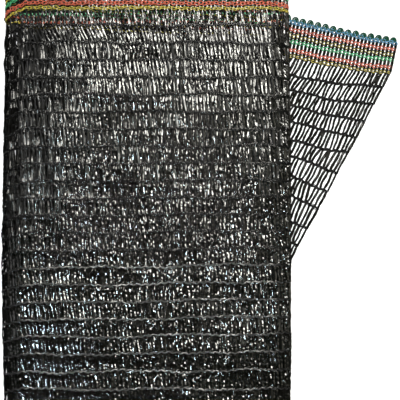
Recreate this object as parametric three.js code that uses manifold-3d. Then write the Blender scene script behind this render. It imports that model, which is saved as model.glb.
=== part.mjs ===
import * as THREE from 'three';
import { mergeVertices } from 'three/addons/utils/BufferGeometryUtils.js';
import Module from 'manifold-3d';

// A folded shade net: one length of knitted net, folded back and forth into a flat bundle.
// Its outer length wraps the bundle, runs flat underneath and comes out at the right as a single layer.
// Sizes are millimetres. The bundle lies on z = 0, its coloured selvedge towards +Y.

// The net
const netWidth = 320;
const sheetThickness = 1.5;
const chainPitch = 12.7; // between the knitted chains that run along the net
const strandPitch = 2.85; // between the tapes that cross from chain to chain
const chainWidth = 1.7;
const barWidth = 1.5;
const selvedgeChains = [5.7, 10.2, 14.3, 18.1, 23.8, 27.6]; // from the loop tips inwards
const loopDepth = 3;
const loopGap = 2.6;
const freeEndAcross = 155; // where the cut end goes in under the bundle
const gapsStartUnder = 16; // how far in under the bundle's right edge the free end is still open

// The bundle
const layerPitch = 3;
const selvedgeY = 170;
const leftEdgeX = -146.04;
const rightEdgeX = 66.7;
const leftBow = { depth: 2.7, middle: 215, reach: 105 };
const rightBow = { depth: 2.4, middle: 230, reach: 230 };
const crown = { fall: 0.14, from: 3, power: 4 };

// Each layer in turn, from the cut end inwards. A layer ends in a turn on its side of the bundle.
// inset: how far that turn stands in from the bundle's edge.
// slipIn, slipOut: how far the selvedge lies below the top layer's at the layer's start and end.
// turnSag: how much further it lies below halfway round the turn.
const left = -1;
const right = 1;
const layers = [
  { level: 0, side: left, inset: 0, slipOut: 6.5, turnSag: 5.4 },
  { level: 11, side: right, inset: 0, slipIn: 0, slipOut: 0.6 },
  { level: 1, side: left, inset: 12.4, slipIn: 3.5, slipOut: 6 },
  { level: 2, side: right, inset: 10.6, slipIn: 7, slipOut: 4 },
  { level: 3, side: left, inset: 5.2, slipIn: 3, slipOut: 7.5 },
  { level: 4, side: right, inset: 3.8, slipIn: 8, slipOut: 5 },
  { level: 5, side: left, inset: 2.9, slipIn: 4.5, slipOut: 2 },
  { level: 6, side: right, inset: 3.1, slipIn: 2.5, slipOut: 7 },
  { level: 7, side: left, inset: 4.6, slipIn: 7.5, slipOut: 9 },
  { level: 8, side: right, inset: 6, slipIn: 9.5, slipOut: 12.5 },
  { level: 9, side: left, inset: 12, slipIn: 13, slipOut: 13.5 },
  { level: 10, side: right, inset: 17, slipIn: 14, slipOut: 20 },
];

// The layer underneath, whose end comes out at the right.
// across: distance from the loop tips, measured on the net.
// x, y: where the cut end lies there. fall: how steeply the chains run down towards that end.
const cutEnd = [
  { across: 0, x: 148.7, y: 125.5, fall: 0.13 },
  { across: 40.3, x: 137.7, y: 88.2, fall: 0.015 },
  { across: 91, x: 110.5, y: 36.6, fall: 0.23 },
  { across: 130, x: 87.6, y: -6.3, fall: 0.5 },
  { across: freeEndAcross, x: 72.2, y: -34.3, fall: 0.38 },
  { across: netWidth, x: 5, y: -164, fall: 0.03 },
];
const fallAtLeft = -0.24;

// How finely the sheet is divided
const stationsBetween = [14, 27.6, 65.7, 116.5, 200, 240, 280];
const acrossStations = [...cutEnd.map((row) => row.across), ...stationsBetween].sort((a, b) => a - b);
const underColumns = 12;
const topColumns = 6;
const innerColumns = 3;
const wrapSegments = 12;
const foldSegments = 5;
const mergeDistance = 1e-4;

const wasm = await Module();
wasm.setup();

function levelHeight(level) {
  return sheetThickness / 2 + level * layerPitch;
}

function leftEdge(across) {
  const offset = (across - leftBow.middle) / leftBow.reach;
  return leftEdgeX - leftBow.depth * Math.exp(-offset * offset);
}

function rightEdge(across) {
  const offset = (across - rightBow.middle) / rightBow.reach;
  return rightEdgeX - rightBow.depth * offset * offset;
}

// The half round that joins a layer to the next one.
function turnBetween(layer, next, across) {
  const radius = Math.abs(next.level - layer.level) * layerPitch / 2;
  const edge = layer.side === left ? leftEdge(across) : rightEdge(across);
  return {
    x: edge - layer.side * (layer.inset + sheetThickness / 2 + radius),
    z: (levelHeight(layer.level) + levelHeight(next.level)) / 2,
    rise: Math.sign(next.level - layer.level),
    radius,
  };
}

function endOfLayer(index, across) {
  const layer = layers[index];
  if (index + 1 < layers.length) {
    return turnBetween(layer, layers[index + 1], across).x;
  }
  return rightEdge(across) - layer.inset;
}

// A row of the cut end between the table's rows.
function cutEndAt(across) {
  let upper = 0;
  while (upper + 2 < cutEnd.length && cutEnd[upper + 1].across < across) {
    upper += 1;
  }
  const a = cutEnd[upper];
  const b = cutEnd[upper + 1];
  const f = (across - a.across) / (b.across - a.across);
  return {
    x: THREE.MathUtils.lerp(a.x, b.x, f),
    y: THREE.MathUtils.lerp(a.y, b.y, f),
    fall: THREE.MathUtils.lerp(a.fall, b.fall, f),
  };
}

function netY(across, slip) {
  return selvedgeY - slip - across;
}

// The layer underneath: along = 0 at the left turn, 1 at the cut end. Each chain is one smooth curve.
function underPoint(along, across) {
  const end = cutEndAt(across);
  const startX = endOfLayer(0, across);
  const startY = netY(across, layers[0].slipOut);
  const span = end.x - startX;
  const back = 1 - along;
  const startShare = (1 + 2 * along) * back * back;
  const startFall = along * back * back * span * fallAtLeft;
  const endFall = along * along * back * span * end.fall;
  const y = startShare * startY + (1 - startShare) * end.y - startFall + endFall;
  return new THREE.Vector3(startX + along * span, y, levelHeight(0));
}

// The stations along the net, from the cut end inwards, each a function of the distance across.
function netStations() {
  const stations = [];
  for (let i = 0; i < underColumns; i += 1) {
    stations.push((across) => underPoint(1 - i / underColumns, across));
  }
  layers.forEach((layer, index) => {
    if (index > 0) {
      stations.push(...layerStations(index));
    }
    if (index + 1 < layers.length) {
      stations.push(...turnStations(index));
    }
  });
  return stations;
}

function layerStations(index) {
  const layer = layers[index];
  const columns = index === 1 ? topColumns : innerColumns;
  const isLast = index + 1 === layers.length;
  const stations = [];
  for (let i = 1; i < columns + (isLast ? 1 : 0); i += 1) {
    const f = i / columns;
    stations.push((across) => {
      const x = THREE.MathUtils.lerp(endOfLayer(index - 1, across), endOfLayer(index, across), f);
      const slip = THREE.MathUtils.lerp(layer.slipIn, layer.slipOut, f);
      return new THREE.Vector3(x, netY(across, slip), levelHeight(layer.level));
    });
  }
  return stations;
}

function turnStations(index) {
  const layer = layers[index];
  const next = layers[index + 1];
  const segments = Math.abs(next.level - layer.level) > 1 ? wrapSegments : foldSegments;
  const stations = [];
  for (let i = 0; i <= segments; i += 1) {
    const f = i / segments;
    const angle = Math.PI * f;
    const sag = (layer.turnSag ?? 0) * 4 * f * (1 - f);
    const slip = THREE.MathUtils.lerp(layer.slipOut, next.slipIn, f) + sag;
    stations.push((across) => {
      const turn = turnBetween(layer, next, across);
      const x = turn.x + layer.side * turn.radius * Math.sin(angle);
      const z = turn.z - turn.rise * turn.radius * Math.cos(angle);
      return new THREE.Vector3(x, netY(across, slip), z);
    });
  }
  return stations;
}

// The bundle is thickest in the middle of its length and settles towards both long edges of the net.
function settle(point) {
  if (point.z > crown.from) {
    const reach = Math.abs(point.y) / selvedgeY;
    const share = 1 - crown.fall * Math.pow(Math.min(reach, 1), crown.power);
    point.z = crown.from + (point.z - crown.from) * share;
  }
  return point;
}

// A closed sheet through the stations: an outer and an inner skin, and a rim round all four edges.
function sheetGeometry() {
  const stations = netStations();
  const rows = acrossStations.length;
  const columns = stations.length;
  const outer = [];
  const inner = [];
  for (let c = 0; c < columns; c += 1) {
    for (const across of acrossStations) {
      const before = stations[Math.max(c - 1, 0)](across);
      const after = stations[Math.min(c + 1, columns - 1)](across);
      const run = new THREE.Vector2(after.x - before.x, after.z - before.z).normalize();
      const normal = new THREE.Vector3(-run.y, 0, run.x).multiplyScalar(sheetThickness / 2);
      const middle = stations[c](across);
      outer.push(settle(middle.clone().add(normal)));
      inner.push(settle(middle.clone().sub(normal)));
    }
  }
  const positions = [...outer, ...inner].flatMap((point) => point.toArray());
  const innerSkin = outer.length;
  const triangles = [];
  const quad = (a, b, c, d) => triangles.push(a, c, b, a, d, c);
  for (let c = 0; c + 1 < columns; c += 1) {
    for (let r = 0; r + 1 < rows; r += 1) {
      const a = c * rows + r;
      const b = a + rows;
      quad(a, b, b + 1, a + 1);
      quad(innerSkin + a, innerSkin + a + 1, innerSkin + b + 1, innerSkin + b);
    }
    const top = c * rows;
    const bottom = top + rows - 1;
    quad(top, innerSkin + top, innerSkin + top + rows, top + rows);
    quad(bottom, bottom + rows, innerSkin + bottom + rows, innerSkin + bottom);
  }
  const last = (columns - 1) * rows;
  for (let r = 0; r + 1 < rows; r += 1) {
    quad(r, r + 1, innerSkin + r + 1, innerSkin + r);
    quad(last + r, innerSkin + last + r, innerSkin + last + r + 1, last + r + 1);
  }
  const geometry = new THREE.BufferGeometry();
  geometry.setAttribute('position', new THREE.Float32BufferAttribute(positions, 3));
  geometry.setIndex(triangles);
  return geometry;
}

function toSolid(geometry) {
  const plain = geometry.clone();
  plain.deleteAttribute('normal');
  plain.deleteAttribute('uv');
  const merged = mergeVertices(plain, mergeDistance);
  const mesh = new wasm.Mesh({
    numProp: 3,
    vertProperties: new Float32Array(merged.attributes.position.array),
    triVerts: new Uint32Array(merged.index.array),
  });
  return new wasm.Manifold(mesh);
}

function toGeometry(solid) {
  const mesh = solid.getMesh();
  const geometry = new THREE.BufferGeometry();
  geometry.setAttribute('position', new THREE.Float32BufferAttribute(mesh.vertProperties, 3));
  geometry.setIndex(Array.from(mesh.triVerts));
  geometry.computeVertexNormals();
  return geometry;
}

// A cutter that goes right through the layer underneath.
function cutter(corners) {
  const shape = new THREE.Shape(corners.map((corner) => new THREE.Vector2(corner.x, corner.y)));
  const geometry = new THREE.ExtrudeGeometry(shape, { depth: 3 * sheetThickness, bevelEnabled: false });
  geometry.translate(0, 0, -sheetThickness);
  return toSolid(geometry);
}

// The chains that bound the gaps of the free end, from the selvedge downwards.
function chainsAcross() {
  const chains = [...selvedgeChains];
  let across = selvedgeChains.at(-1) + chainPitch;
  while (across < freeEndAcross) {
    chains.push(across);
    across += chainPitch;
  }
  return chains;
}

// The gaps of the free end, at twice the real net's pitch, between two chains and two bars.
function gapCutters() {
  const cutters = [];
  const chains = chainsAcross();
  const gapPitch = 2 * strandPitch;
  for (let i = 0; i + 1 < chains.length; i += 1) {
    const upper = chains[i] + chainWidth / 2;
    const lower = chains[i + 1] - chainWidth / 2;
    const middle = (upper + lower) / 2;
    const span = cutEndAt(middle).x - endOfLayer(0, middle);
    for (let back = barWidth; back < span; back += gapPitch) {
      const near = 1 - back / span;
      const far = 1 - (back + gapPitch - barWidth) / span;
      const corners = [
        underPoint(far, upper),
        underPoint(far, lower),
        underPoint(near, lower),
        underPoint(near, upper),
      ];
      if (Math.min(...corners.map((corner) => corner.x)) < rightEdgeX - gapsStartUnder) {
        break;
      }
      cutters.push(cutter(corners));
    }
  }
  return cutters;
}

// The notches that leave the selvedge's outer loops standing on the free end.
function loopCutters() {
  const cutters = [];
  const loopPitch = 2 * strandPitch;
  const span = cutEndAt(0).x - endOfLayer(0, 0);
  for (let back = loopPitch; back < span; back += loopPitch) {
    const near = 1 - (back - loopGap / 2) / span;
    const middle = 1 - back / span;
    const far = 1 - (back + loopGap / 2) / span;
    const outwards = -sheetThickness;
    const corners = [underPoint(far, outwards), underPoint(middle, loopDepth), underPoint(near, outwards)];
    if (corners[0].x < rightEdgeX - gapsStartUnder) {
      break;
    }
    cutters.push(cutter(corners));
  }
  return cutters;
}

const openings = [...gapCutters(), ...loopCutters()];
const net = toSolid(sheetGeometry()).subtract(wasm.Manifold.union(openings));

const blackTape = new THREE.MeshStandardMaterial({ color: 0x151617, roughness: 0.35, metalness: 0 });
const shadeNet = new THREE.Mesh(toGeometry(net), blackTape);
shadeNet.name = 'shade_net';

const group = new THREE.Group();
group.add(shadeNet);

export default group;
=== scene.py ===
import math

import bpy
import numpy as np
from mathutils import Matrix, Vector


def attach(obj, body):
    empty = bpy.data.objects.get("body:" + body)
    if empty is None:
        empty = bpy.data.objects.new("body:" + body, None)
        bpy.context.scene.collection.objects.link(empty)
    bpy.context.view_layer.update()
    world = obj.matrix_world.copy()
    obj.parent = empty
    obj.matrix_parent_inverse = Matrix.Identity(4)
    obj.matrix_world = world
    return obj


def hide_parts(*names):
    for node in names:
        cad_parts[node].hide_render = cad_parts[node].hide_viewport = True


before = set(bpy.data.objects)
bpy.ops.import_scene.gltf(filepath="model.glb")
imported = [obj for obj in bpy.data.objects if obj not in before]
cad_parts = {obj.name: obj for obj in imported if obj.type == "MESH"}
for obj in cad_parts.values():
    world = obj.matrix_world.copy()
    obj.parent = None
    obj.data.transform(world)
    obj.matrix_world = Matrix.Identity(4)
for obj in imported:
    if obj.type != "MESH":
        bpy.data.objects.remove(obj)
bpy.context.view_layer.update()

# A folded shade net, knitted from flat black tape held by chains, with a striped selvedge.
# Shapes are worked out in millimetres and turned into metres when a mesh is made.
millimetre = 0.001

net = {
    "width": 320,
    "chainPitch": 12.7,
    "strandPitch": 2.85,
    # the selvedge's chains: distance from the loop tips, colour, width, half the yarn's thickness
    "selvedge": [
        (5.4, "blue", 2.2, 0.64),
        (10.2, "red", 2.1, 0.54),
        (14.3, "yellow", 1.6, 0.38),
        (18.1, "green", 2, 0.52),
        (23.8, "red", 2.1, 0.56),
        (27.6, "yellow", 1.6, 0.4),
    ],
    "seed": 11,
}

bundle = {
    "sheetThickness": 1.5,
    "layerPitch": 3,
    "selvedgeY": 170,
    "leftEdge": -146.04,
    "rightEdge": 66.7,
    # how far the two edges bow, where across the net, and over how much
    "leftBow": {"depth": 2.7, "middle": 215, "reach": 105},
    "rightBow": {"depth": 2.4, "middle": 230, "reach": 230},
    # share of the height lost at the bundle's two ends, above this height, and how late it begins
    "crown": {"fall": 0.14, "start": 3, "power": 4},
    "fallAtLeft": -0.24,        # how steeply the chains run down from the left fold, underneath; below 0, up
    "turnSag": 5.4,             # how much lower the selvedge lies halfway round the wide turn at the left
    "straightLow": 0.8,         # share of that sag lost by the net's lower edge
    "straightFreeEnd": 0.35,    # share of the layer underneath whose strands follow the cut end
    "evenFan": (120, 80),       # where across the net they begin to spread evenly instead, and over how much
    # each layer from the cut end inwards: level, side of its turn, inset of the turn, slip at start and end
    "layers": [
        (0, -1, 0, 6.5, 6.5),
        (11, 1, 0, 0, 0.6),
        (1, -1, 12.4, 3.5, 6),
        (2, 1, 10.6, 7, 4),
        (3, -1, 5.2, 3, 7.5),
        (4, 1, 3.8, 8, 5),
        (5, -1, 2.9, 4.5, 2),
        (6, 1, 3.1, 2.5, 7),
        (7, -1, 4.6, 7.5, 9),
        (8, 1, 6, 9.5, 12.5),
        (9, -1, 12, 13, 13.5),
        (10, 1, 17, 14, 20),
    ],
    # the cut end: distance across the net, x, y, how steeply the chains run down to it
    "cutEnd": [
        (0, 148.7, 125.5, 0.13),
        (27.6, 142.9, 98.1, 0.05),
        (40.3, 137, 86.8, 0.015),
        (91, 110.5, 36.6, 0.23),
        (130, 87.6, -6.3, 0.5),
        (155, 72.2, -34.3, 0.38),
        (320, 5, -164, 0.03),
    ],
}
layers = [dict(zip(("level", "side", "inset", "slipIn", "slipOut"), row)) for row in bundle["layers"]]


def lerp(start, end, share):
    return start + (end - start) * share


def smoothStep(share):
    share = np.clip(share, 0, 1)
    return share * share * (3 - 2 * share)


def unit(vectors):
    return vectors / np.maximum(np.linalg.norm(vectors, axis=-1, keepdims=True), 1e-9)


# The folds. "along" runs on the net from the cut end inwards, "across" from the selvedge loops downwards.
def levelHeight(level):
    return bundle["sheetThickness"] / 2 + level * bundle["layerPitch"]


def edgeX(side, across):
    if side < 0:
        bow = bundle["leftBow"]
        return bundle["leftEdge"] - bow["depth"] * np.exp(-(((across - bow["middle"]) / bow["reach"]) ** 2))
    bow = bundle["rightBow"]
    return bundle["rightEdge"] - bow["depth"] * ((across - bow["middle"]) / bow["reach"]) ** 2


def turnRadius(index):
    return abs(layers[index + 1]["level"] - layers[index]["level"]) * bundle["layerPitch"] / 2


def layerEndX(index, across):
    layer = layers[index]
    inset = layer["inset"]
    if index + 1 < len(layers):
        inset = inset + bundle["sheetThickness"] / 2 + turnRadius(index)
    return edgeX(layer["side"], across) - layer["side"] * inset


def cutEndAt(across):
    rows = np.array(bundle["cutEnd"])
    upper = np.clip(np.searchsorted(rows[:, 0], across) - 1, 0, len(rows) - 2)
    share = (across - rows[upper, 0]) / (rows[upper + 1, 0] - rows[upper, 0])
    return [lerp(rows[upper, column], rows[upper + 1, column], share) for column in (1, 2, 3)]


def netY(across, slip):
    return bundle["selvedgeY"] - slip - across


# The layer underneath: strands lie along the cut end on the free part, and spread like a fan further in
def underPoint(index, share, across):
    endX, endY, endFall = cutEndAt(across)
    startX = layerEndX(index, across)
    startY = netY(across, layers[index]["slipOut"])
    span = endX - startX
    fullSpan = routeParts[0]["length"]
    straight = bundle["straightFreeEnd"]
    fanFrom, fanReach = bundle["evenFan"]
    late = smoothStep((share - straight) / (1 - straight))
    spread = lerp(late, share, np.clip((across - fanFrom) / fanReach, 0, 1))
    x = endX - share * fullSpan - (span - fullSpan) * spread
    forward = (x - startX) / span
    back = 1 - forward
    startShare = (1 + 2 * forward) * back ** 2
    falls = forward ** 2 * back * span * endFall - forward * back ** 2 * span * bundle["fallAtLeft"]
    y = startShare * startY + (1 - startShare) * endY + falls
    return np.stack([x, y, np.full_like(x, levelHeight(0))], axis=-1)


def runPoint(index, share, across):
    layer = layers[index]
    x = lerp(layerEndX(index - 1, across), layerEndX(index, across), share)
    y = netY(across, lerp(layer["slipIn"], layer["slipOut"], share))
    return np.stack([x, y, np.full_like(x, levelHeight(layer["level"]))], axis=-1)


def turnPoint(index, share, across):
    layer = layers[index]
    nextLayer = layers[index + 1]
    rise = math.copysign(1, nextLayer["level"] - layer["level"])
    angle = math.pi * share
    x = layerEndX(index, across) + layer["side"] * turnRadius(index) * np.sin(angle)
    middle = (levelHeight(layer["level"]) + levelHeight(nextLayer["level"])) / 2
    z = middle - rise * turnRadius(index) * np.cos(angle)
    sag = bundle["turnSag"] * 4 * share * (1 - share) if index == 0 else 0
    sag = sag * (1 - bundle["straightLow"] * across / net["width"])
    return np.stack([x, netY(across, lerp(layer["slipOut"], nextLayer["slipIn"], share) + sag), z], axis=-1)


def routeOf():
    parts = []
    start = 0

    def add(place, index, length):
        nonlocal start
        parts.append({"place": place, "index": index, "start": start, "length": length})
        start += length

    middle = net["width"] / 2
    add(underPoint, 0, cutEndAt(np.array(0.0))[0] - layerEndX(0, 0.0))
    for index in range(len(layers)):
        if index > 0:
            add(runPoint, index, abs(layerEndX(index, middle) - layerEndX(index - 1, middle)))
        if index + 1 < len(layers):
            add(turnPoint, index, math.pi * turnRadius(index))
    return parts, start


routeParts, netLength = routeOf()
print("net unfolded: %.0f x %.0f mm" % (net["width"], netLength))


def netPoint(along, across):
    along, across = np.broadcast_arrays(along, across)
    points = np.zeros(along.shape + (3,))
    starts = np.array([part["start"] for part in routeParts])
    which = np.clip(np.searchsorted(starts, along, side="right") - 1, 0, len(starts) - 1)
    for number in np.unique(which):
        part = routeParts[number]
        inside = which == number
        share = (along[inside] - part["start"]) / part["length"]
        points[inside] = part["place"](part["index"], share, across[inside])
    return points


slopeStep = 0.15  # how far apart the points are that the sheet's slope is read from


# The place of points on the net that stand "height" off the sheet's middle, and the sheet's outward normal
def onNet(along, across, height):
    run = unit(netPoint(along + slopeStep, across) - netPoint(along - slopeStep, across))
    fall = unit(netPoint(along, across + slopeStep) - netPoint(along, across - slopeStep))
    flat = unit(np.cross(fall, run))
    swell = swellHeight(along, across)
    runSlope = (swellHeight(along + slopeStep, across) - swell) / slopeStep
    fallSlope = (swellHeight(along, across + slopeStep) - swell) / slopeStep
    normal = unit(flat - runSlope[..., None] * run - fallSlope[..., None] * fall)
    points = netPoint(along, across) + flat * swell[..., None] + normal * np.asarray(height)[..., None]
    crown = bundle["crown"]
    reach = np.minimum(np.abs(points[..., 1]) / bundle["selvedgeY"], 1)
    share = 1 - crown["fall"] * reach ** crown["power"]
    z = points[..., 2]
    points[..., 2] = np.where(z > crown["start"], crown["start"] + (z - crown["start"]) * share, z)
    return points, normal


def partStart(place, index):
    return next(p["start"] for p in routeParts if p["place"] is place and p["index"] == index)


# The parts of the net that differ in detail: where each begins and ends, along the net
detail = {
    "freeEnd": 106,     # length of the free end, to a little way under the bundle
    "leftFold": 0.3,    # how far round the left fold the top layer's finer tapes begin
    "rightFold": 0.7,   # and how far round the right one they end
}
topStart = partStart(turnPoint, 0) + detail["leftFold"] * math.pi * turnRadius(0)
topEnd = partStart(turnPoint, 1) + detail["rightFold"] * math.pi * turnRadius(1)
secondStart = partStart(runPoint, len(layers) - 1)
zones = {
    "freeEnd": (0, detail["freeEnd"]),
    "under": (detail["freeEnd"], topStart),
    "top": (topStart, topEnd),
    "inner": (topEnd, secondStart),
    "second": (secondStart, netLength),
}


# The numbers of the first strand, stitch or loop in a zone and of the first one past it
def numbersIn(zone, pitch):
    return np.ceil(np.array(zones[zone]) / pitch - 0.5).astype(int)


random = np.random.default_rng(net["seed"])

# The top layer's low swells, where the layers under it lie unevenly
swellLook = {
    "waves": 8,
    "shortest": 20,
    "longest": 70,
    "slope": 0.045,
    "below": 30,    # they begin this far below the loop tips
    "margin": 14,
}
swellWaves = []
for number in range(swellLook["waves"]):
    length = lerp(swellLook["shortest"], swellLook["longest"], random.random())
    heading = math.pi * random.random()
    swellWaves.append((length, heading, 2 * math.pi * random.random()))


def swellHeight(along, across):
    margin = swellLook["margin"]
    fromLeft = smoothStep((along - topStart - 2 * margin) / margin)
    fromRight = smoothStep((topEnd - 2 * margin - along) / margin)
    fromSelvedge = smoothStep((across - swellLook["below"]) / margin)
    height = 0
    for length, heading, phase in swellWaves:
        way = along * math.cos(heading) + across * math.sin(heading)
        wave = np.sin(2 * math.pi * way / length + phase)
        height = height + swellLook["slope"] * length / (2 * math.pi) * wave
    return fromLeft * fromRight * fromSelvedge * liveliness(along, across) * height


# The chains: selvedge first, then one every chain pitch down to the lower edge
def chainPlaces():
    places = [across for across, colour, width, yarn in net["selvedge"]]
    while places[-1] + net["chainPitch"] < net["width"]:
        places.append(places[-1] + net["chainPitch"])
    return np.array(places)


chainsAt = chainPlaces()
selvedgeCount = len(net["selvedge"])

waver = {
    "long": 0.65,           # slow waves of a chain, and their length
    "longWave": 95,
    "short": 0.42,
    "shortWave": 31,
    "least": 0.6,           # a chain's waves are at least this much of that, and up to this much more
    "spread": 0.8,
    "selvedgeShare": 0.35,
    "rise": 3.6,            # the chains climb towards the top layer's lower right
    "riseFrom": 60,         # from this far past the left fold
    "riseBelow": (60, 190),  # from this far below the loop tips, and over how much
    "riseFade": 50,         # and less again this near the lower edge
}
waverPhases = random.random((len(chainsAt), 2)) * 2 * math.pi
waverPhases[:selvedgeCount] = waverPhases[0]  # the selvedge's chains waver together
waverSizes = waver["least"] + waver["spread"] * random.random((len(chainsAt), 2))


def chainAcross(chain, along):
    phases = waverPhases[chain]
    sizes = waverSizes[chain]
    wave = waver["long"] * sizes[..., 0] * np.sin(2 * math.pi * along / waver["longWave"] + phases[..., 0])
    wave += waver["short"] * sizes[..., 1] * np.sin(2 * math.pi * along / waver["shortWave"] + phases[..., 1])
    wave *= np.where(chain < selvedgeCount, waver["selvedgeShare"], 1)
    riseStart = topStart + waver["riseFrom"]
    ramp = smoothStep((along - riseStart) / (topEnd - riseStart)) * (along < topEnd)
    rest = chainsAt[chain]
    low = lowShare(rest, waver["riseBelow"]) * smoothStep((net["width"] - rest) / waver["riseFade"])
    return rest + wave - waver["rise"] * ramp * low


# How far down a place lies, from 0 on the upper rows to 1. low: where that begins to rise, and over how much
def lowShare(across, low):
    return smoothStep((across - low[0]) / low[1])


# Meshes swept along many paths at once. Sections are in half widths and half thicknesses.
flatSection = np.array([(1, 0), (0, 1), (-1, 0), (0, -1)])
threeSided = np.array([(1, -0.5), (0, 1), (-1, -0.5)])
roundSection = np.array([(math.cos(a), math.sin(a)) for a in np.arange(4) * math.pi / 2 + math.pi / 4])


def sweep(centres, sides, normals, section, wide, thick, closed=False, smooth=False):
    paths, stations = centres.shape[:2]
    corners = len(section)
    wide = np.broadcast_to(wide, (paths, stations))[..., None] * section[:, 0]
    thick = np.broadcast_to(thick, (paths, stations))[..., None] * section[:, 1]
    points = centres[:, :, None] + sides[:, :, None] * wide[..., None]
    points = points + normals[:, :, None] * thick[..., None]
    index = np.arange(paths * stations * corners).reshape(paths, stations, corners)
    here = index if closed else index[:, :-1]
    ahead = np.roll(index, -1, axis=1) if closed else index[:, 1:]
    quads = np.stack([here, ahead, np.roll(ahead, -1, axis=2), np.roll(here, -1, axis=2)], axis=-1)
    caps = np.zeros((0, corners), int)
    if not closed:
        caps = np.concatenate([index[:, 0], index[:, -1, ::-1]])
    return {
        "points": points.reshape(-1, 3),
        "quads": quads.reshape(-1, 4),
        "caps": caps,
        "smooth": smooth,
        "path": np.repeat(np.arange(paths), stations * corners),
        "tone": np.random.default_rng(index.size).random(paths),  # how rough each tape is
        "dull": np.zeros(paths),  # how rough each yarn is
    }


def alongPath(centres, normals, closed=False):
    if closed:
        tangents = np.roll(centres, -1, axis=1) - np.roll(centres, 1, axis=1)
    else:
        tangents = np.gradient(centres, axis=1)
    tangents = unit(tangents)
    sides = unit(np.cross(tangents, normals))
    return sides, unit(np.cross(sides, tangents))


def meshPiece(name, sweeps, material):
    points = np.concatenate([swept["points"] for swept in sweeps]) * millimetre
    offsets = np.cumsum([0] + [len(swept["points"]) for swept in sweeps])
    rings = []
    smooth = []
    for swept, offset in zip(sweeps, offsets):
        rings += [swept["quads"] + offset, swept["caps"] + offset]
        smooth += [swept["smooth"]] * (len(swept["quads"]) + len(swept["caps"]))
    corners = np.concatenate([ring.ravel() for ring in rings])
    sizes = np.concatenate([np.full(len(ring), ring.shape[1]) for ring in rings])
    mesh = bpy.data.meshes.new(name)
    mesh.vertices.add(len(points))
    mesh.vertices.foreach_set("co", points.astype(np.float32).ravel())
    mesh.loops.add(len(corners))
    mesh.loops.foreach_set("vertex_index", corners.astype(np.int32))
    mesh.polygons.add(len(sizes))
    mesh.polygons.foreach_set("loop_start", (np.cumsum(sizes) - sizes).astype(np.int32))
    mesh.update(calc_edges=True)
    mesh.polygons.foreach_set("use_smooth", np.array(smooth))
    for finish in ("tone", "dull"):
        values = np.concatenate([swept[finish][swept["path"]] for swept in sweeps])
        mesh.attributes.new(finish, "FLOAT", "POINT").data.foreach_set("value", values.astype(np.float32))
    piece = bpy.data.objects.new(name, mesh)
    bpy.context.scene.collection.objects.link(piece)
    mesh.materials.append(material)
    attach(piece, "root")
    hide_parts("shade_net")
    print("%s: %d triangles" % (name, (sizes - 2).sum()))
    return piece


# The tapes: each crosses from a chain to the next, bends into its neighbour there and sags between
tape = {
    "level": 0.3,
    "sag": (0.3, 0.45),         # at the selvedge and low down
    "unevenHeight": 0.22,
    "unevenSteps": 0.7,         # how unevenly a strand is divided into its segments
    "heldEnds": 6,              # higher lets a strand ripple nearer to the chains
    "waistPower": 4,            # higher keeps its width nearer to the chains
    "wave": 0.22,               # how far a strand waves from side to side
    "waveCount": 0.8,           # waves in a strand, give or take the next
    "unevenWaves": 0.3,
    "swayWave": 37,             # length of the slow changes of slant, and their shift from row to row
    "swayShift": 1.7,
    "edgeStrand": 0.3,          # from the cut end to its first strand
    "firstStrandShift": 0.5,    # share of the others' unevenness that this strand has
    "straightNearCut": 14,      # strands this near the cut end lie along it
    "edgeWiden": (0.7, 0.25),   # the tapes spread out where the layers fold at the left and right edges
    "edgeFaceUp": (0.12, 0.5),  # and turn up towards the light
    "edgeTilt": (5, 16),
    "edgeReach": 11,
    "edgeBow": 1.5,             # how far single tapes bow out of the left fold
    "edgeBowPower": 3,
    # where the top layer's tapes lie calmest, how far that reaches, and how they lie there
    "calm": {
        "x": -114,
        "across": 272,
        "reach": (38, 58),
        "share": 0.9,
        "crease": 0,
        "lean": 0.06,
        "tilt": 0.45,
    },
    "leftTilt": -27,            # tapes turn away to the left near the left fold, in the upper part
    "leftCrease": 0.4,          # and are creased less
    "leftReach": 84,
    "leftLow": (22, -68),       # the heights in y between which that ends
    "low": (66, 92),            # where the top layer's tapes begin to lie less evenly, and over how much
    "tone": (0.5, 0.175),       # how rough the roughest tapes are, at the selvedge and low down
    "toneLow": (140, 100),      # where that begins to change, and over how much
    "leftTone": 0.62,           # how rough they are near the left fold
}

# How the strands lie in each zone, where two values are for the selvedge and for low down.
plainTape = {
    "segments": 2,              # that a strand is divided into
    "section": flatSection,
    "lean": (0, 0),             # slant of the strands
    "leanReach": (60, 150),     # where the slant begins to change, and over how much
    "unevenLean": 0.08,
    "sway": 0,                  # slow change of the slant along a row
    "shift": 0.5,               # how unevenly the strands are spaced
    "pairing": 0.07,            # how close pairs lie
    "hairpin": (0.15, 0.06),    # share of the pitch that an end bends over, and of its length that bends
    "wave": 1,
    "width": 1.5,
    "waist": 0.85,              # share of the width left at the chains
    "unevenWidth": 0.18,
    "widthRipple": 0,
    "thickness": 0.28,          # with the crease in its middle
    "tilt": 18,                 # degrees that a tape turns about its length, by chance
    "turn": 0,                  # together with all the others
    "pairTilt": 0,              # against its neighbour
    "twist": 14,                # from end to end
    "crinkle": (8, 8),          # and from point to point
    "ripple": (0, 0),           # small waves in height
    "firstRowWidth": 1,         # the row below the selvedge: share of the width, degrees more
    "firstRowTurn": 0,
    "selvedgeWidth": 1.2,       # the strands between the selvedge's chains
    "selvedgeWaist": 0.85,
    "selvedgeThickness": 0.26,
    "selvedgeLevel": -0.2,
    "selvedgeShift": 0.12,
    "selvedgeTurn": 0,
}
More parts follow.
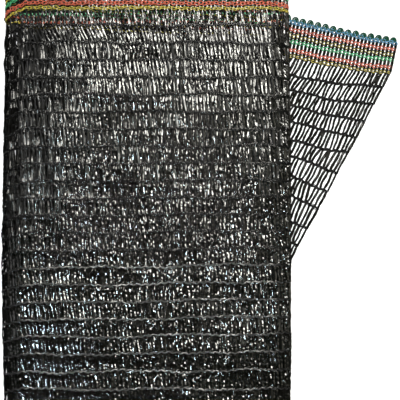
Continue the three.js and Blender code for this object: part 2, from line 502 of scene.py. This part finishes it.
tapeZones = {
    "freeEnd": {
        **plainTape, "segments": 10,
        "lean": (0.08, -0.1), "leanReach": (20, 40), "unevenLean": 0.07, "sway": 0.06,
        "shift": 0.28, "pairing": 0, "hairpin": (0.22, 0.09), "wave": 1.3,
        "width": 1.95, "unevenWidth": 0.2, "widthRipple": 0.16, "thickness": 0.75,
        "tilt": 6, "twist": 5, "crinkle": (3, 3),
        "selvedgeWidth": 2.15, "selvedgeWaist": 0.65, "selvedgeThickness": 0.8,
        "selvedgeLevel": -0.3, "selvedgeShift": 0.25,
    },
    "under": {**plainTape, "width": 1.45},
    "top": {
        **plainTape, "segments": 11, "section": threeSided,
        "lean": (0.13, 0.1), "unevenLean": 0.05, "shift": 0.3, "pairing": 0.04,
        "waist": 0.45, "thickness": 0.42,
        "tilt": 8, "turn": -17, "pairTilt": 4, "twist": 8, "crinkle": (6, 13), "ripple": (0.06, 0.24),
        "firstRowWidth": 0.68, "firstRowTurn": -24,
    },
    "second": {
        **plainTape, "segments": 5,
        "lean": (-0.08, -0.04), "thickness": 0.3,
        "tilt": 24, "crinkle": (12, 12), "ripple": (0.1, 0.2),
        "selvedgeWidth": 1.3, "selvedgeThickness": 0.5, "selvedgeLevel": 0.5, "selvedgeTurn": -30,
    },
    "inner": {
        **plainTape, "segments": 1, "section": threeSided,
        "lean": (0.05, 0.05), "unevenLean": 0.05, "wave": 0,
        "waist": 1, "thickness": 0.26, "tilt": 38, "crinkle": (0, 0),
        "selvedgeWidth": 1.3, "selvedgeWaist": 1,
    },
}

# Rows of the top layer that differ from the others, by number
topRows = {
    "steep": {5: 0.12, 6: 0.34, 7: 0.05},  # slant more
    "steepReach": (0.6, 70),  # up to this share of the layer's length, and fading over how much
    "turned": {11: 9, 12: 12, 13: 8},  # turned less to the light, in degrees
}

rowCount = len(chainsAt) - 1
strandCount = int(netLength / net["strandPitch"])
mostPoints = max(look["segments"] for look in tapeZones.values()) + 1
chanceNames = ("lean", "wave", "phase", "shift", "height", "tilt", "twist", "width")
chance = random.random((rowCount, strandCount, len(chanceNames))) * 2 - 1
crinkleChance = random.random((rowCount, strandCount, mostPoints)) * 2 - 1
rippleChance = random.random((rowCount, strandCount, mostPoints)) * 2 - 1
stepChance = random.random((rowCount, strandCount, mostPoints)) - 0.5


# How much the tapes lie turned away near the left fold
def leftShare(points):
    share = 1 - smoothStep((points[..., 0] - bundle["leftEdge"]) / tape["leftReach"])
    high, low = tape["leftLow"]
    return share * smoothStep((points[..., 1] - low) / (high - low))


# How near a point is to the bundle's left and right edges
def edgeShares(points):
    edges = np.array([bundle["leftEdge"], bundle["rightEdge"]])
    return np.exp(-((points[..., :1] - edges) / tape["edgeReach"]) ** 2)


# How much of their unevenness the tapes keep where the top layer lies calm
def liveliness(along, across):
    calm = tape["calm"]
    calmAlong = partStart(runPoint, 1) + calm["x"] - layerEndX(0, calm["across"])
    far = ((along - calmAlong) / calm["reach"][0]) ** 2 + ((across - calm["across"]) / calm["reach"][1]) ** 2
    return 1 - calm["share"] * np.exp(-far)


# How far round the left fold: 0 on the layers, 1 halfway round
def foldShare(along):
    share = (along - partStart(turnPoint, 0)) / (math.pi * turnRadius(0))
    return np.sin(math.pi * np.clip(share, 0, 1)) ** tape["edgeBowPower"]


def rowValues(values, row):
    return np.array([values.get(number, 0) for number in range(rowCount)])[row]


# The strands of a zone, a line for each: where they are, their chance values, how far down their points lie
def strandsOf(zone):
    look = tapeZones[zone]
    points = look["segments"] + 1
    first, last = numbersIn(zone, net["strandPitch"])
    row, number = np.meshgrid(np.arange(rowCount), np.arange(first, min(last, strandCount)), indexing="ij")
    row, number = row.ravel(), number.ravel()
    uneven = tape["unevenSteps"] * stepChance[row, number][:, :points]
    uneven[:, [0, -1]] = 0
    return {
        "row": row[:, None],
        "number": number[:, None],
        "partner": np.where(number % 2 == 0, 1, -1)[:, None],
        "isSelvedge": (row < selvedgeCount - 1)[:, None],
        "isFirst": (row == selvedgeCount - 1)[:, None],
        "lowDown": lowShare(chainsAt[row], tape["low"])[:, None],
        "down": (np.arange(points) + uneven) / look["segments"],
        "dice": {name: chance[row, number, column][:, None] for column, name in enumerate(chanceNames)},
        "crinkle": crinkleChance[row, number][:, :points],
        "ripple": rippleChance[row, number][:, :points],
    }


def strandCourse(zone, strands):
    look = tapeZones[zone]
    pitch = net["strandPitch"]
    row, down, dice = strands["row"], strands["down"], strands["dice"]
    bend, reach = look["hairpin"]
    bends = strands["partner"] * bend * pitch * (np.exp(-down / reach) - np.exp(-(1 - down) / reach))
    bends = bends + strands["partner"] * look["pairing"] * pitch
    middle = tape["edgeStrand"] + strands["number"] * pitch
    slant = lerp(*look["lean"], lowShare(chainsAt[row], look["leanReach"]))
    slant = slant + look["sway"] * np.sin(2 * math.pi * middle / tape["swayWave"] + tape["swayShift"] * row)
    if zone == "top":
        steepTo, steepFade = topRows["steepReach"]
        fade = smoothStep((lerp(topStart, topEnd, steepTo) - middle) / steepFade)
        slant = slant + rowValues(topRows["steep"], row) * fade
    calm = 1 - liveliness(middle, chainsAt[row])
    slant = (slant + tape["calm"]["lean"] * calm) * np.clip(middle / tape["straightNearCut"], 0, 1)
    height = chainsAt[row + 1] - chainsAt[row]
    lean = (slant + look["unevenLean"] * dice["lean"]) * height * (down - 0.5)
    waveCount = tape["waveCount"] + tape["unevenWaves"] * dice["wave"]
    waves = look["wave"] * tape["wave"] * np.sin(2 * math.pi * (down * waveCount + dice["phase"]))
    loose = np.where(strands["number"] == 0, tape["firstStrandShift"], 1)
    loose = np.where(strands["isSelvedge"], look["selvedgeShift"], loose)
    along = middle + loose * (bends + lean + waves + look["shift"] * dice["shift"])
    return along, lerp(chainAcross(row, along), chainAcross(row + 1, along), down)


# How high the strands stand off the sheet's middle
def strandLift(zone, strands, along, lively):
    look = tapeZones[zone]
    dice, lowDown = strands["dice"], strands["lowDown"]
    fromMiddle = 2 * strands["down"] - 1
    belly = 1 - fromMiddle ** 2
    free = 1 - np.abs(fromMiddle) ** tape["heldEnds"]
    ripple = lively * lerp(*look["ripple"], lowDown) * strands["ripple"]
    sag = lerp(*tape["sag"], lowDown) + lively * tape["unevenHeight"] * dice["height"]
    lift = tape["level"] - belly * sag + free * ripple
    lift = np.where(strands["isSelvedge"], look["selvedgeLevel"], lift)
    return lift + tape["edgeBow"] * foldShare(along) * belly * np.clip(dice["wave"], 0, 1)


# How far the tapes turn about their length
def tapeTurn(zone, strands, lively, edges, atLeft):
    look = tapeZones[zone]
    dice = strands["dice"]
    turn = look["turn"] + look["firstRowTurn"] * strands["isFirst"]
    turn = turn + look["selvedgeTurn"] * strands["isSelvedge"]
    if zone == "top":
        turn = turn + rowValues(topRows["turned"], strands["row"])
    turned = look["twist"] * dice["twist"] * (strands["down"] - 0.5)
    turned = turned + lerp(*look["crinkle"], strands["lowDown"]) * strands["crinkle"]
    turned = turned + (turn + look["pairTilt"] * strands["partner"]) * (1 - atLeft)
    turned = lively * turned + tape["leftTilt"] * atLeft
    tilt = look["tilt"] * lerp(tape["calm"]["tilt"], 1, lively) + (edges * tape["edgeTilt"]).sum(axis=-1)
    return np.radians(turned + tilt * dice["tilt"])[..., None]


# Half the tapes' width and thickness
def tapeSize(zone, strands, lively, edges, atLeft):
    look = tapeZones[zone]
    isSelvedge = strands["isSelvedge"]
    width = look["width"] * (1 + look["unevenWidth"] * strands["dice"]["width"])
    width = width * (1 + look["widthRipple"] * strands["crinkle"])
    width = width * np.where(strands["isFirst"], look["firstRowWidth"], 1)
    width = np.where(isSelvedge, look["selvedgeWidth"], width)
    width = width * (1 + (edges * tape["edgeWiden"]).sum(axis=-1))
    waist = np.where(isSelvedge, look["selvedgeWaist"], look["waist"])
    wide = width / 2 * lerp(1, waist, np.abs(2 * strands["down"] - 1) ** tape["waistPower"])
    thick = np.where(isSelvedge, look["selvedgeThickness"], look["thickness"]) / 2
    thick = thick * lerp(tape["calm"]["crease"], 1, lively) * lerp(1, tape["leftCrease"], atLeft)
    return wide, thick


def tapesOf(zone):
    strands = strandsOf(zone)
    along, across = strandCourse(zone, strands)
    lively = liveliness(along, across)
    centres, normals = onNet(along, across, strandLift(zone, strands, along, lively))
    edges = edgeShares(centres) * (zone != "freeEnd")
    atLeft = leftShare(centres) * (zone not in ("freeEnd", "under"))
    faceUp = (edges * tape["edgeFaceUp"]).sum(axis=-1) * (normals[..., 2] > 0)
    normals = unit(normals * (1 - faceUp)[..., None] + np.array([0, 0, 1]) * faceUp[..., None])
    sides, normals = alongPath(centres, normals)
    turned = tapeTurn(zone, strands, lively, edges, atLeft)
    turnedSides = sides * np.cos(turned) + normals * np.sin(turned)
    turnedNormals = normals * np.cos(turned) - sides * np.sin(turned)
    wide, thick = tapeSize(zone, strands, lively, edges, atLeft)
    tapes = sweep(centres, turnedSides, turnedNormals, tapeZones[zone]["section"], wide, thick)
    low = lowShare(chainsAt[strands["row"][:, 0]], tape["toneLow"])
    tone = tapes["tone"] * lerp(*tape["tone"], low)
    tapes["tone"] = lerp(tone, tape["leftTone"], atLeft.mean(axis=1))
    return tapes


# The chains: every stitch an oval loop that lies over the next one
chainLook = {
    "blackWidth": 1.5,
    "stitchLength": 1.4,        # in strand pitches
    "stitchPoints": 8,
    "pear": 0.25,               # how much wider a stitch is towards its foot
    "blackYarn": 0.22,          # half the yarn's thickness
    "flattened": (1.25, 0.65),  # how the black yarn lies pressed flat: width and thickness, in yarns
    "freeEndYarn": 0.32,
    "besideYellow": (0.36, 2.9),  # the black yarn knitted in beside the yellow: half its thickness, width
    "secondShare": 0.26,        # the selvedge's chains are drawn thinner on the second layer
    "innerShare": 0.42,         # and on the layers inside
    "level": 0.5,
    "colourLevel": 0.2,
    "overlap": 0.2,             # how far a stitch's head stands above its foot
    "zigzag": 0.3,
    "uneven": 0.25,
    "unevenOverlap": 3,         # how much more unevenly the stitches lie over each other
    "cord": (2.6, 1.1),         # the yarn under the stitches: its width and thickness, in yarns
    "cordZigzag": 0.5,
    "cordWave": 0.12,
    "lowCord": (0.15, 1.75),    # its thickness low down, where it lies flatter, at the least and at the most
    "low": (140, 100),          # where it begins to lie flatter, and over how much
    "seed": 7,
}
stitchChance = np.random.default_rng(chainLook["seed"]).random((len(chainsAt), strandCount + 2, 3))


# Which side of the sheet the chains stand out on: the free end shows its inner face
def chainSide(zone):
    return -1 if zone == "freeEnd" else 1


def stitchesOf(chains, zone, yarn, width, level, shape=(1, 1)):
    pitch = net["strandPitch"]
    chain, stitch = np.meshgrid(np.array(chains), np.arange(*numbersIn(zone, pitch)), indexing="ij")
    chain, stitch = chain.reshape(-1, 1), stitch.reshape(-1, 1)
    angle = np.arange(chainLook["stitchPoints"]) * 2 * math.pi / chainLook["stitchPoints"]
    along = (stitch + 0.5) * pitch + chainLook["stitchLength"] * pitch / 2 * np.cos(angle)
    side = np.where(stitch % 2 == 0, 1, -1)
    dice = chainLook["uneven"] * (stitchChance[chain, stitch] * 2 - 1)
    oval = width * (1 + dice[..., 0]) / 2 * np.sin(angle) * (1 - chainLook["pear"] * np.cos(angle))
    across = chainAcross(chain, along) + oval + side * chainLook["zigzag"] + dice[..., 1]
    overlap = chainLook["overlap"] * np.cos(angle + chainLook["unevenOverlap"] * dice[..., 2])
    centres, normals = onNet(along, across, chainSide(zone) * (level + overlap))
    sides, normals = alongPath(centres, normals * chainSide(zone), closed=True)
    wide, thick = shape
    return sweep(centres, sides, normals, threeSided, yarn * wide, yarn * thick, closed=True, smooth=True)


def cordsOf(chains, zone, yarn, level):
    pitch = net["strandPitch"]
    first, last = numbersIn(zone, pitch)
    chain, stitch = np.meshgrid(np.array(chains), np.arange(first, last + 1), indexing="ij")
    along = stitch * pitch
    side = np.where(stitch % 2 == 0, 1, -1)
    across = chainAcross(chain, along) + side * chainLook["cordZigzag"]
    centres, normals = onNet(along, across, chainSide(zone) * (level + chainLook["cordWave"] * side))
    sides, normals = alongPath(centres, normals * chainSide(zone))
    wide, thick = chainLook["cord"]
    low = lowShare(chainsAt[chain], chainLook["low"]) * (zone == "top")
    flat = low * (1 - edgeShares(centres).max(axis=-1))
    thick = lerp(thick, lerp(*chainLook["lowCord"], stitchChance[chain, stitch, 0]), flat)
    cords = sweep(centres, sides, normals, threeSided, yarn * wide, yarn * thick)
    cords["dull"] = low[:, 0]
    return cords


# The selvedge's outer loops, each with a smaller one inside it
loopLook = {
    "pitch": 2,     # in strand pitches
    "foot": 5.2,
    "yarn": 0.8,    # half its thickness
    "steps": 9,
    "arch": 0.7,    # lower makes a loop squarer
    "uneven": 0.5,
    "sizes": [(4.2, 1.8, 0.15), (1.6, 3, -0.25)],  # width, distance of the tip from the edge, level
    "seed": 5,
}


def edgeLoops(zone):
    pitch = loopLook["pitch"] * net["strandPitch"]
    yarn = loopLook["yarn"]
    number = np.arange(*numbersIn(zone, pitch))
    dice = np.random.default_rng(loopLook["seed"]).random((int(netLength / pitch) + 2, 2))[number] - 0.5
    angle = np.linspace(0, math.pi, loopLook["steps"])
    sway = dice[:, :1] * loopLook["uneven"] * np.sin(angle)
    arch = np.sin(angle) ** loopLook["arch"]
    loops = []
    for width, tip, level in loopLook["sizes"]:
        along = (number[:, None] + 0.5) * pitch - width / 2 * np.cos(angle) + sway
        across = lerp(loopLook["foot"], tip + dice[:, 1:] * loopLook["uneven"], arch)
        centres, normals = onNet(along, across, level * np.cos(angle))
        sides, normals = alongPath(centres, normals)
        loops.append(sweep(centres, sides, normals, roundSection, yarn, yarn, smooth=True))
    return loops


# Materials
def nodeMaterial(name):
    material = bpy.data.materials.new(name)
    material.use_nodes = True
    return material, material.node_tree.nodes["Principled BSDF"]


# A colour between the finish's dark and pale ones, and a bump, both from one pattern
def addPattern(material, pattern, finish, bump):
    nodes = material.node_tree.nodes
    links = material.node_tree.links
    shader = nodes["Principled BSDF"]
    shade = nodes.new("ShaderNodeMix")
    shade.data_type = "RGBA"
    shade.inputs["A"].default_value = finish["dark"]
    shade.inputs["B"].default_value = finish["pale"]
    links.new(pattern.outputs["Fac"], shade.inputs["Factor"])
    links.new(shade.outputs["Result"], shader.inputs["Base Color"])
    raised = nodes.new("ShaderNodeBump")
    raised.inputs["Strength"].default_value, raised.inputs["Distance"].default_value = bump
    links.new(pattern.outputs["Fac"], raised.inputs["Height"])
    links.new(raised.outputs["Normal"], shader.inputs["Normal"])


# Roughness from an attribute of the mesh that runs from 0 to 1
def addRoughness(material, attributeName, smoothest, roughest):
    nodes = material.node_tree.nodes
    links = material.node_tree.links
    attribute = nodes.new("ShaderNodeAttribute")
    attribute.attribute_name = attributeName
    span = nodes.new("ShaderNodeMapRange")
    span.inputs["To Min"].default_value = smoothest
    span.inputs["To Max"].default_value = roughest
    links.new(attribute.outputs["Fac"], span.inputs["Value"])
    links.new(span.outputs["Result"], nodes["Principled BSDF"].inputs["Roughness"])


tapeFinish = {
    "dark": (0.0012, 0.0012, 0.0008, 1),
    "pale": (0.0045, 0.0045, 0.0032, 1),
    "roughness": (0.12, 0.44),
    # freeEndTape is a shaded copy of the black tape, painted shade: its reflection is turned down so that the
    # free end shows plain black
    "specular": {"blackTape": 1, "freeEndTape": 0.3},  # the free end shows plain black
    "streaks": (2200, 160, 2200),  # fine, and long along the tape
    "detail": 3,
    "bump": (0.35, 0.00015),  # strength, depth in metres
}


def tapeMaterial(name):
    material, shader = nodeMaterial(name)
    nodes = material.node_tree.nodes
    links = material.node_tree.links
    place = nodes.new("ShaderNodeTexCoord")
    stretch = nodes.new("ShaderNodeMapping")
    stretch.inputs["Scale"].default_value = tapeFinish["streaks"]
    links.new(place.outputs["Object"], stretch.inputs["Vector"])
    streaks = nodes.new("ShaderNodeTexNoise")
    streaks.inputs["Scale"].default_value = 1
    streaks.inputs["Detail"].default_value = tapeFinish["detail"]
    links.new(stretch.outputs["Vector"], streaks.inputs["Vector"])
    addPattern(material, streaks, tapeFinish, tapeFinish["bump"])
    addRoughness(material, "tone", *tapeFinish["roughness"])
    shader.inputs["Specular IOR Level"].default_value = tapeFinish["specular"][name]
    return material


fibreLook = {"scale": 1500, "detail": 3, "bump": (0.4, 0.0002)}
blackFinish = {"dark": (0.002, 0.002, 0.0022, 1), "pale": (0.008, 0.008, 0.008, 1), "roughness": 0.17}
stripeFinish = {"roughness": 0.45, "specular": 0.5}
yarnFinish = {
    "black": {**blackFinish, "dull": 0.29, "specular": 1},  # dull: the flat cords low down
    # freeEndBlack is a shaded copy of the black yarn, painted shade: its reflection is turned down like the
    # free end's tape
    "freeEndBlack": {**blackFinish, "specular": 0.3},
    "darkGreen": {
        "dark": (0.001, 0.012, 0.008, 1), "pale": (0.005, 0.11, 0.06, 1),
        "roughness": 0.4, "specular": 0.15,
    },
    "blue": {**stripeFinish, "dark": (0.05, 0.2, 0.42, 1), "pale": (0.18, 0.45, 0.66, 1)},
    "red": {**stripeFinish, "dark": (0.5, 0.075, 0.04, 1), "pale": (0.82, 0.22, 0.13, 1)},
    "yellow": {**stripeFinish, "dark": (0.46, 0.37, 0.04, 1), "pale": (0.78, 0.66, 0.11, 1)},
    "green": {**stripeFinish, "dark": (0.03, 0.32, 0.12, 1), "pale": (0.12, 0.66, 0.3, 1)},
}


def yarnMaterial(colour):
    finish = yarnFinish[colour]
    material, shader = nodeMaterial(colour + "Yarn")
    nodes = material.node_tree.nodes
    links = material.node_tree.links
    place = nodes.new("ShaderNodeTexCoord")
    fibre = nodes.new("ShaderNodeTexNoise")
    fibre.inputs["Scale"].default_value = fibreLook["scale"]
    fibre.inputs["Detail"].default_value = fibreLook["detail"]
    links.new(place.outputs["Object"], fibre.inputs["Vector"])
    addPattern(material, fibre, finish, fibreLook["bump"])
    addRoughness(material, "dull", finish["roughness"], finish.get("dull", finish["roughness"]))
    shader.inputs["Specular IOR Level"].default_value = finish["specular"]
    return material


blackTape = tapeMaterial("blackTape")
freeEndTape = tapeMaterial("freeEndTape")
yarns = {colour: yarnMaterial(colour) for colour in yarnFinish}
print("materials ready")

# The net's pieces
fineZones = ("freeEnd", "top")
plainZones = ("under", "inner", "second")
blackChains = np.arange(selvedgeCount, len(chainsAt))
yellowChains = [number for number, chain in enumerate(net["selvedge"]) if "yellow" in chain]


def blackStitches(zone):
    yarn, width, level = chainLook["blackYarn"], chainLook["blackWidth"], chainLook["level"]
    return stitchesOf(blackChains, zone, yarn, width, level, chainLook["flattened"])


def blackCords(zone, yarn=chainLook["blackYarn"]):
    return cordsOf(blackChains, zone, yarn, chainLook["level"])


def selvedgeChains(colour):
    level = chainLook["colourLevel"]
    second, inner = chainLook["secondShare"], chainLook["innerShare"]
    sweeps = []
    for number, (across, itsColour, width, yarn) in enumerate(net["selvedge"]):
        if itsColour == colour:
            sweeps += [stitchesOf([number], zone, yarn, width, level) for zone in fineZones]
            sweeps += [stitchesOf([number], "second", second * yarn, second * width, level)]
            sweeps += [cordsOf([number], "under", yarn, level)]
            sweeps += [cordsOf([number], "inner", inner * yarn, level)]
    return sweeps


innerTapes = meshPiece("tapes_inner_layers", [tapesOf("inner")], blackTape)
besideYellow = stitchesOf(yellowChains, "freeEnd", *chainLook["besideYellow"], chainLook["level"])
freeEndChains = [blackStitches("freeEnd"), blackCords("freeEnd", chainLook["freeEndYarn"]), besideYellow]
otherPieces = [
    meshPiece("tapes_top_layer", [tapesOf("top")], blackTape),
    meshPiece("tapes_second_layer", [tapesOf("second")], blackTape),
    meshPiece("tapes_bottom_layer", [tapesOf("freeEnd"), tapesOf("under")], freeEndTape),
    meshPiece("chains_outside", [blackStitches("top"), blackCords("top")], yarns["black"]),
    meshPiece("chains_free_end", freeEndChains, yarns["freeEndBlack"]),
    meshPiece("chains_inside", [blackCords(zone) for zone in plainZones], yarns["black"]),
]
for colour in ("blue", "red", "yellow", "green"):
    stripe = meshPiece("selvedge_" + colour, selvedgeChains(colour), yarns[colour])
    otherPieces.append(stripe)
loops = [loop for zone in zones for loop in edgeLoops(zone)]
otherPieces.append(meshPiece("selvedge_loops", loops, yarns["darkGreen"]))
# an open net's tapes, chains and loops cover about 0.4 of its flat size
print("net made")

# Floor, light and camera, in metres
stageLook = {
    "floorSize": 8,
    "floorDrop": 0.0005,  # below the net, so that the two don't touch
    "floorColour": (0.28, 0.28, 0.28, 1),
    "floorRoughness": 0.9,
    "floorGlow": 1.0,
    "backdropHeight": 4,
    "backdropSides": 48,
    "worldLight": 0.02,
    "white": (1, 1, 1, 1),
}


def makeFloor():
    half = stageLook["floorSize"] / 2
    corners = [(-half, -half, 0), (half, -half, 0), (half, half, 0), (-half, half, 0)]
    mesh = bpy.data.meshes.new("floor")
    mesh.from_pydata(corners, [], [(0, 1, 2, 3)])
    floor = bpy.data.objects.new("floor", mesh)
    bpy.context.scene.collection.objects.link(floor)
    floor.location.z = -stageLook["floorDrop"]
    floor.visible_glossy = False  # the black tapes stay black at the bundle's edges
    material, shader = nodeMaterial("palePaper")
    shader.inputs["Base Color"].default_value = stageLook["floorColour"]
    shader.inputs["Roughness"].default_value = stageLook["floorRoughness"]
    shader.inputs["Emission Color"].default_value = stageLook["white"]
    shader.inputs["Emission Strength"].default_value = stageLook["floorGlow"]
    mesh.materials.append(material)
    return material


# A white wall round the floor, seen only by the camera, so that no horizon shows from the sides
def makeBackdrop(paper):
    sides = stageLook["backdropSides"]
    reach = stageLook["floorSize"] / 2
    turns = [2 * math.pi * number / sides for number in range(sides)]
    low = [(reach * math.cos(turn), reach * math.sin(turn), 0) for turn in turns]
    high = [(x, y, stageLook["backdropHeight"]) for x, y, z in low]
    quads = [(n, (n + 1) % sides, sides + (n + 1) % sides, sides + n) for n in range(sides)]
    mesh = bpy.data.meshes.new("backdrop")
    mesh.from_pydata(low + high, [], quads)
    mesh.materials.append(paper)
    backdrop = bpy.data.objects.new("backdrop", mesh)
    bpy.context.scene.collection.objects.link(backdrop)
    backdrop.visible_glossy = False
    backdrop.visible_diffuse = False
    backdrop.visible_shadow = False


# Each light's place, the point it faces, its size, power and colour, and how many degrees its beam spreads.
# The main one makes the upper rows' streaks, the cool one the bluish dashes at the lower left.
panel = {"faces": (0, 0, 0), "colour": (1, 1, 1), "spread": 180}
softboxes = {
    "mainSoftbox": {
        "place": (0.2, 0.33, 1.3), "faces": (0.13, -0.06, 0), "size": (0.8, 0.42),
        "power": 2.1, "colour": (1, 0.98, 0.9), "spread": 44,
    },
    "coolSoftbox": {
        "place": (-0.256, -0.24, 1.3), "faces": (-0.11, -0.1, 0), "size": (0.24, 0.38),
        "power": 0.1, "colour": (0.72, 0.92, 1), "spread": 5,
    },
    "leftPanel": {**panel, "place": (-1.1, 0.15, 0.65), "size": (0.9, 0.8), "power": 1.7},
    "rightPanel": {
        **panel, "place": (0.95, 0, 0.85), "size": (0.9, 0.8),
        "power": 1.8, "colour": (1, 0.96, 0.8),
    },
    "frontPanel": {**panel, "place": (0, -1.5, 0.45), "size": (1.6, 0.5), "power": 2},
    "backPanel": {**panel, "place": (0, 1.5, 0.45), "size": (1.6, 0.5), "power": 2},
    "ceiling": {**panel, "place": (0, 0, 1.9), "size": (2, 2), "power": 0.55, "colour": (1, 0.98, 0.84)},
}


def makeLight():
    world = bpy.data.worlds.new("studio")
    bpy.context.scene.world = world
    world.use_nodes = True
    background = world.node_tree.nodes["Background"]
    background.inputs["Color"].default_value = stageLook["white"]
    background.inputs["Strength"].default_value = stageLook["worldLight"]
    for name, box in softboxes.items():
        light = bpy.data.lights.new(name, "AREA")
        light.shape = "RECTANGLE"
        light.size, light.size_y = box["size"]
        light.energy = box["power"]
        light.color = box["colour"]
        light.spread = math.radians(box["spread"])
        lamp = bpy.data.objects.new(name, light)
        lamp.location = box["place"]
        lamp.rotation_euler = (Vector(box["faces"]) - lamp.location).to_track_quat("-Z", "Y").to_euler()
        bpy.context.scene.collection.objects.link(lamp)


photoCamera = {"place": (-0.0012, 0.0014, 1.0), "lens": 118.9, "sensor": 36}  # looks straight down


def makeCamera():
    data = bpy.data.cameras.new("photoCamera")
    data.lens = photoCamera["lens"]
    data.sensor_width = photoCamera["sensor"]
    camera = bpy.data.objects.new("photoCamera", data)
    camera.location = photoCamera["place"]
    bpy.context.scene.collection.objects.link(camera)
    bpy.context.scene.camera = camera


makeBackdrop(makeFloor())
makeLight()
makeCamera()
bpy.context.scene.view_settings.view_transform = "Standard"
print("stage ready")
